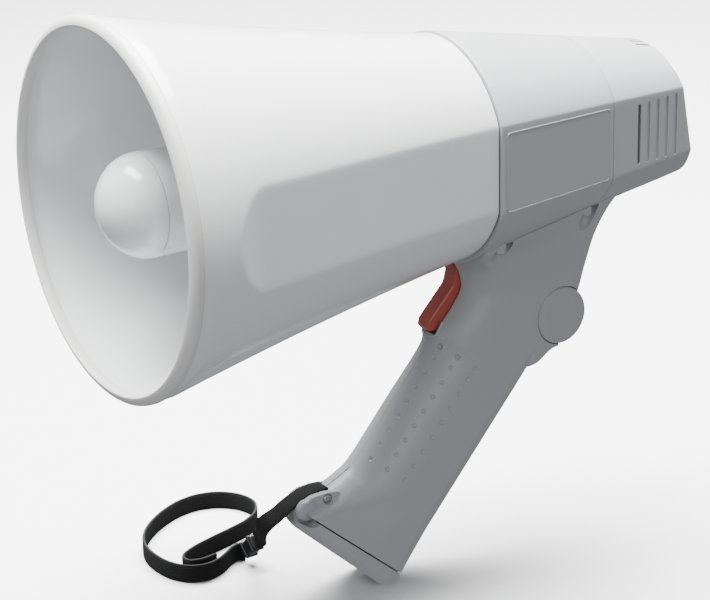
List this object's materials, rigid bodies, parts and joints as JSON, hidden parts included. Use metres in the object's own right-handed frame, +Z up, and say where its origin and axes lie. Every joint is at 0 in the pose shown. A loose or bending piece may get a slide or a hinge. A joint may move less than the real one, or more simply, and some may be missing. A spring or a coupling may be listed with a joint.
{
  "type": "handheld megaphone",
  "caption": "Handheld megaphone: a flared reflex horn on a grey amplifier housing, with a leaning pistol grip that holds the batteries, a talk trigger, a volume dial and a wrist strap.",
  "frame": {"origin": "centre of the hand grip, where the palm closes round it", "axes": "+Z up, the horn axis along X with its mouth towards -X, +Y the side away from the rating plate"},
  "size_m": [0.2936, 0.1946, 0.2798],
  "materials": {
    "horn_white": "glossy off-white moulded ABS",
    "rim_white": "satin off-white bumper ring",
    "body_grey": "fine-textured light grey moulded ABS",
    "trigger_red": "fine-textured dark red moulding",
    "black_plastic": "black moulding",
    "inner_plastic": "thin translucent film and plain moulding",
    "steel": "bright plated steel",
    "magnet": "dark sintered ferrite",
    "copper": "enamelled copper wire",
    "board_green": "green lacquered laminate",
    "foam": "closed-cell foam and rubber",
    "label_grey": "blank printed plate with a pale border",
    "cell_jacket": "plain shrink jacket",
    "webbing": "black woven nylon webbing",
    "red_wire": "insulated wire"
  },
  "bodies": {
    "casing": {"amplifier_board": "board_green", "amplifier_housing": "body_grey", "battery_cell_1": "cell_jacket", "battery_cell_2": "cell_jacket", "battery_cell_3": "cell_jacket", "battery_cell_4": "cell_jacket", "battery_cell_5": "cell_jacket", "battery_cell_6": "cell_jacket", "battery_cover_pin": "steel", "battery_leads": "red_wire", "battery_magazine": "black_plastic", "board_capacitor_1": "black_plastic", "board_capacitor_2": "black_plastic", "driver_diaphragm": "inner_plastic", "driver_frame": "black_plastic", "driver_gasket": "foam", "driver_leads": "red_wire", "driver_magnet": "magnet", "driver_pole_piece": "steel", "driver_screw_1": "steel", "driver_screw_2": "steel", "driver_screw_3": "steel", "driver_screw_4": "steel", "driver_top_plate": "steel", "grip_screw_1": "steel", "grip_screw_2": "steel", "grip_screw_3": "steel", "grip_shell_left": "body_grey", "grip_shell_right": "body_grey", "heat_sink": "steel", "horn_bell": "horn_white", "horn_rim_guard": "rim_white", "microphone_capsule": "steel", "microphone_foam": "foam", "microphone_holder": "foam", "microphone_lead": "black_plastic", "output_transformer": "magnet", "rating_plate": "label_grey", "rear_cap": "body_grey", "reflector_dome": "horn_white", "reflector_skirt": "horn_white", "saddle_screw_1": "steel", "saddle_screw_2": "steel", "saddle_screw_3": "steel", "saddle_screw_4": "steel", "strap_loop": "webbing", "strap_neck": "webbing", "strap_pin": "steel", "strap_slider": "black_plastic", "talk_switch": "black_plastic", "throat_tube": "horn_white", "trigger_pin": "steel", "voice_coil": "copper", "volume_control": "black_plastic"},
    "trigger": {"talk_trigger": "trigger_red", "trigger_spring": "steel"},
    "dial": {"volume_dial": "body_grey"},
    "cover": {"battery_cover": "body_grey", "cover_latch": "black_plastic"}
  },
  "joints": [
    {"name": "trigger_press", "type": "hinge", "parent": "casing", "child": "trigger", "pos_m": [0.0214, 0, 0.0712], "axis": [0, -1, 0], "range_deg": [0, 6], "stiffness_Nm_per_rad": 1, "springref_deg": -2.86},
    {"name": "volume_turn", "type": "hinge", "parent": "casing", "child": "dial", "pos_m": [0.064, 0, 0.04282], "axis": [0, 1, 0], "range_deg": [0, 280]},
    {"name": "battery_cover_open", "type": "hinge", "parent": "casing", "child": "cover", "pos_m": [-0.0712, 0, -0.0245], "axis": [0, 1, 0], "range_deg": [0, 55]}
  ]
}
